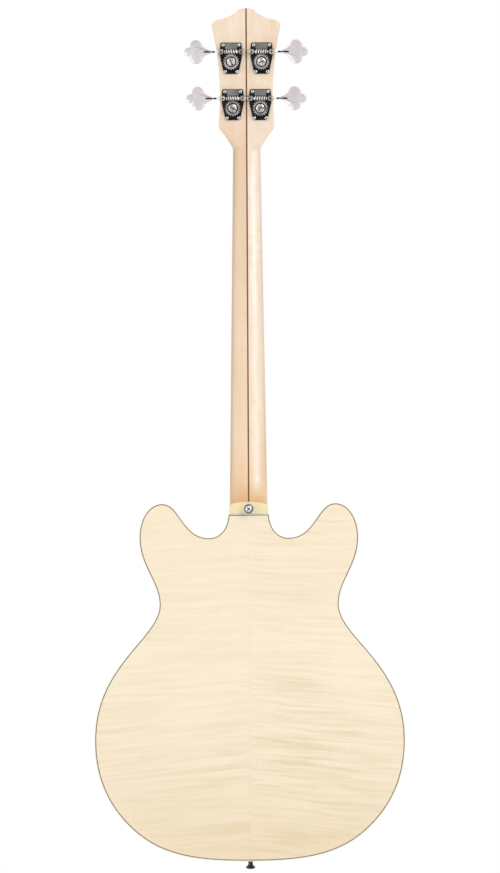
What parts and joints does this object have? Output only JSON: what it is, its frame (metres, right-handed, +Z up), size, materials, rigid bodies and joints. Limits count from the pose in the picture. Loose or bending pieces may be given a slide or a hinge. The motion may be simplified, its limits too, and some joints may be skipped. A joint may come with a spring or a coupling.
{
  "type": "semi-hollow bass guitar",
  "caption": "Semi-hollow electric bass guitar with an arched double-cutaway maple body, glued neck, open worm-gear tuners, sliding bridge saddles, turning knobs and a toggle switch.",
  "frame": {"origin": "on the centre line at the nut, on the glue plane between the neck and the fingerboard, where a hanger's yoke holds the neck", "axes": "+Z up along the neck towards the headstock, +Y out of the front where the strings are, +X towards the bass side"},
  "size_m": [0.42, 0.084, 1.1679],
  "materials": {
    "flamed_maple": "clear gloss lacquer",
    "neck_maple": "clear gloss lacquer",
    "walnut": "clear gloss lacquer",
    "block_wood": "bare",
    "ivory_plastic": "polished",
    "heel_cap_cream": "polished",
    "rosewood": "oiled",
    "bone": "polished bone",
    "black_gloss": "polished",
    "chrome": "polished",
    "aged_nickel": "aged nickel plate",
    "steel": "plain",
    "string_steel": "wound"
  },
  "bodies": {
    "instrument": {"top_plate": "flamed_maple", "back_plate": "flamed_maple", "side_bass": "flamed_maple", "side_treble": "flamed_maple", "center_block": "block_wood", "binding_top": "ivory_plastic", "binding_back": "ivory_plastic", "neck_bass_half": "neck_maple", "neck_treble_half": "neck_maple", "neck_stripe": "walnut", "headstock_veneer": "black_gloss", "truss_rod": "steel", "truss_rod_cover": "black_gloss", "heel_cap": "heel_cap_cream", "fingerboard": "rosewood", "nut": "bone", "neck_pickup": "chrome", "bridge_pickup": "chrome", "neck_pickup_ring": "black_gloss", "bridge_pickup_ring": "black_gloss", "bridge_plate": "chrome", "pot_bridge_volume": "steel", "pot_bridge_tone": "steel", "pot_neck_volume": "steel", "pot_neck_tone": "steel", "switch_body": "aged_nickel", "output_jack": "chrome", "heel_strap_button": "chrome", "end_strap_button": "chrome", "tuner_plate_E": "aged_nickel", "tuner_plate_A": "aged_nickel", "tuner_plate_D": "aged_nickel", "tuner_plate_G": "aged_nickel", "string_E": "string_steel", "string_A": "string_steel", "string_D": "string_steel", "string_G": "string_steel"},
    "tuner_key_E": {"tuner_key_E": "chrome"},
    "tuner_post_E": {"tuner_gear_E": "aged_nickel", "tuner_post_E": "chrome"},
    "tuner_key_A": {"tuner_key_A": "chrome"},
    "tuner_post_A": {"tuner_gear_A": "aged_nickel", "tuner_post_A": "chrome"},
    "tuner_key_D": {"tuner_key_D": "chrome"},
    "tuner_post_D": {"tuner_gear_D": "aged_nickel", "tuner_post_D": "chrome"},
    "tuner_key_G": {"tuner_key_G": "chrome"},
    "tuner_post_G": {"tuner_gear_G": "aged_nickel", "tuner_post_G": "chrome"},
    "saddle_E": {"saddle_E": "rosewood"},
    "saddle_A": {"saddle_A": "rosewood"},
    "saddle_D": {"saddle_D": "rosewood"},
    "saddle_G": {"saddle_G": "rosewood"},
    "knob_bridge_volume": {"knob_bridge_volume": "black_gloss"},
    "knob_bridge_tone": {"knob_bridge_tone": "black_gloss"},
    "knob_neck_volume": {"knob_neck_volume": "black_gloss"},
    "knob_neck_tone": {"knob_neck_tone": "black_gloss"},
    "switch_lever": {"switch_lever": "ivory_plastic"}
  },
  "joints": [
    {"name": "key_turn_E", "type": "hinge", "parent": "instrument", "child": "tuner_key_E", "pos_m": [0.0187, -0.03752, 0.06338], "axis": [1, 0, 0], "continuous": true},
    {"name": "post_turn_E", "type": "hinge", "parent": "instrument", "child": "tuner_post_E", "pos_m": [0.0187, -0.01282, 0.05554], "axis": [0, 0.9744, 0.225], "continuous": true},
    {"name": "key_turn_A", "type": "hinge", "parent": "instrument", "child": "tuner_key_A", "pos_m": [0.0206, -0.05149, 0.12389], "axis": [1, 0, 0], "continuous": true},
    {"name": "post_turn_A", "type": "hinge", "parent": "instrument", "child": "tuner_post_A", "pos_m": [0.0206, -0.02679, 0.11605], "axis": [0, 0.9744, 0.225], "continuous": true},
    {"name": "key_turn_D", "type": "hinge", "parent": "instrument", "child": "tuner_key_D", "pos_m": [-0.0206, -0.05149, 0.12389], "axis": [-1, 0, 0], "continuous": true},
    {"name": "post_turn_D", "type": "hinge", "parent": "instrument", "child": "tuner_post_D", "pos_m": [-0.0206, -0.02679, 0.11605], "axis": [0, 0.9744, 0.225], "continuous": true},
    {"name": "key_turn_G", "type": "hinge", "parent": "instrument", "child": "tuner_key_G", "pos_m": [-0.0187, -0.03752, 0.06338], "axis": [-1, 0, 0], "continuous": true},
    {"name": "post_turn_G", "type": "hinge", "parent": "instrument", "child": "tuner_post_G", "pos_m": [-0.0187, -0.01282, 0.05554], "axis": [0, 0.9744, 0.225], "continuous": true},
    {"name": "saddle_slide_E", "type": "slide", "parent": "instrument", "child": "saddle_E", "axis": [0, 0, 1], "range_m": [-0.005, 0.003]},
    {"name": "saddle_slide_A", "type": "slide", "parent": "instrument", "child": "saddle_A", "axis": [0, 0, 1], "range_m": [-0.005, 0.003]},
    {"name": "saddle_slide_D", "type": "slide", "parent": "instrument", "child": "saddle_D", "axis": [0, 0, 1], "range_m": [-0.005, 0.003]},
    {"name": "saddle_slide_G", "type": "slide", "parent": "instrument", "child": "saddle_G", "axis": [0, 0, 1], "range_m": [-0.005, 0.003]},
    {"name": "bridge_volume_turn", "type": "hinge", "parent": "instrument", "child": "knob_bridge_volume", "pos_m": [-0.084, 0, -0.87111], "axis": [0, 1, 0], "range_deg": [-150, 150]},
    {"name": "bridge_tone_turn", "type": "hinge", "parent": "instrument", "child": "knob_bridge_tone", "pos_m": [-0.126, 0, -0.86111], "axis": [0, 1, 0], "range_deg": [-150, 150]},
    {"name": "neck_volume_turn", "type": "hinge", "parent": "instrument", "child": "knob_neck_volume", "pos_m": [-0.092, 0, -0.82111], "axis": [0, 1, 0], "range_deg": [-150, 150]},
    {"name": "neck_tone_turn", "type": "hinge", "parent": "instrument", "child": "knob_neck_tone", "pos_m": [-0.134, 0, -0.81111], "axis": [0, 1, 0], "range_deg": [-150, 150]},
    {"name": "pickup_switch_tilt", "type": "hinge", "parent": "instrument", "child": "switch_lever", "pos_m": [-0.08799, -0.00652, -0.5851], "axis": [1, 0, 0], "range_deg": [-15, 15]}
  ],
  "couplings": [
    {"joint": "post_turn_E", "follows": "key_turn_E", "ratio": 0.05},
    {"joint": "post_turn_A", "follows": "key_turn_A", "ratio": 0.05},
    {"joint": "post_turn_D", "follows": "key_turn_D", "ratio": 0.05},
    {"joint": "post_turn_G", "follows": "key_turn_G", "ratio": 0.05}
  ]
}
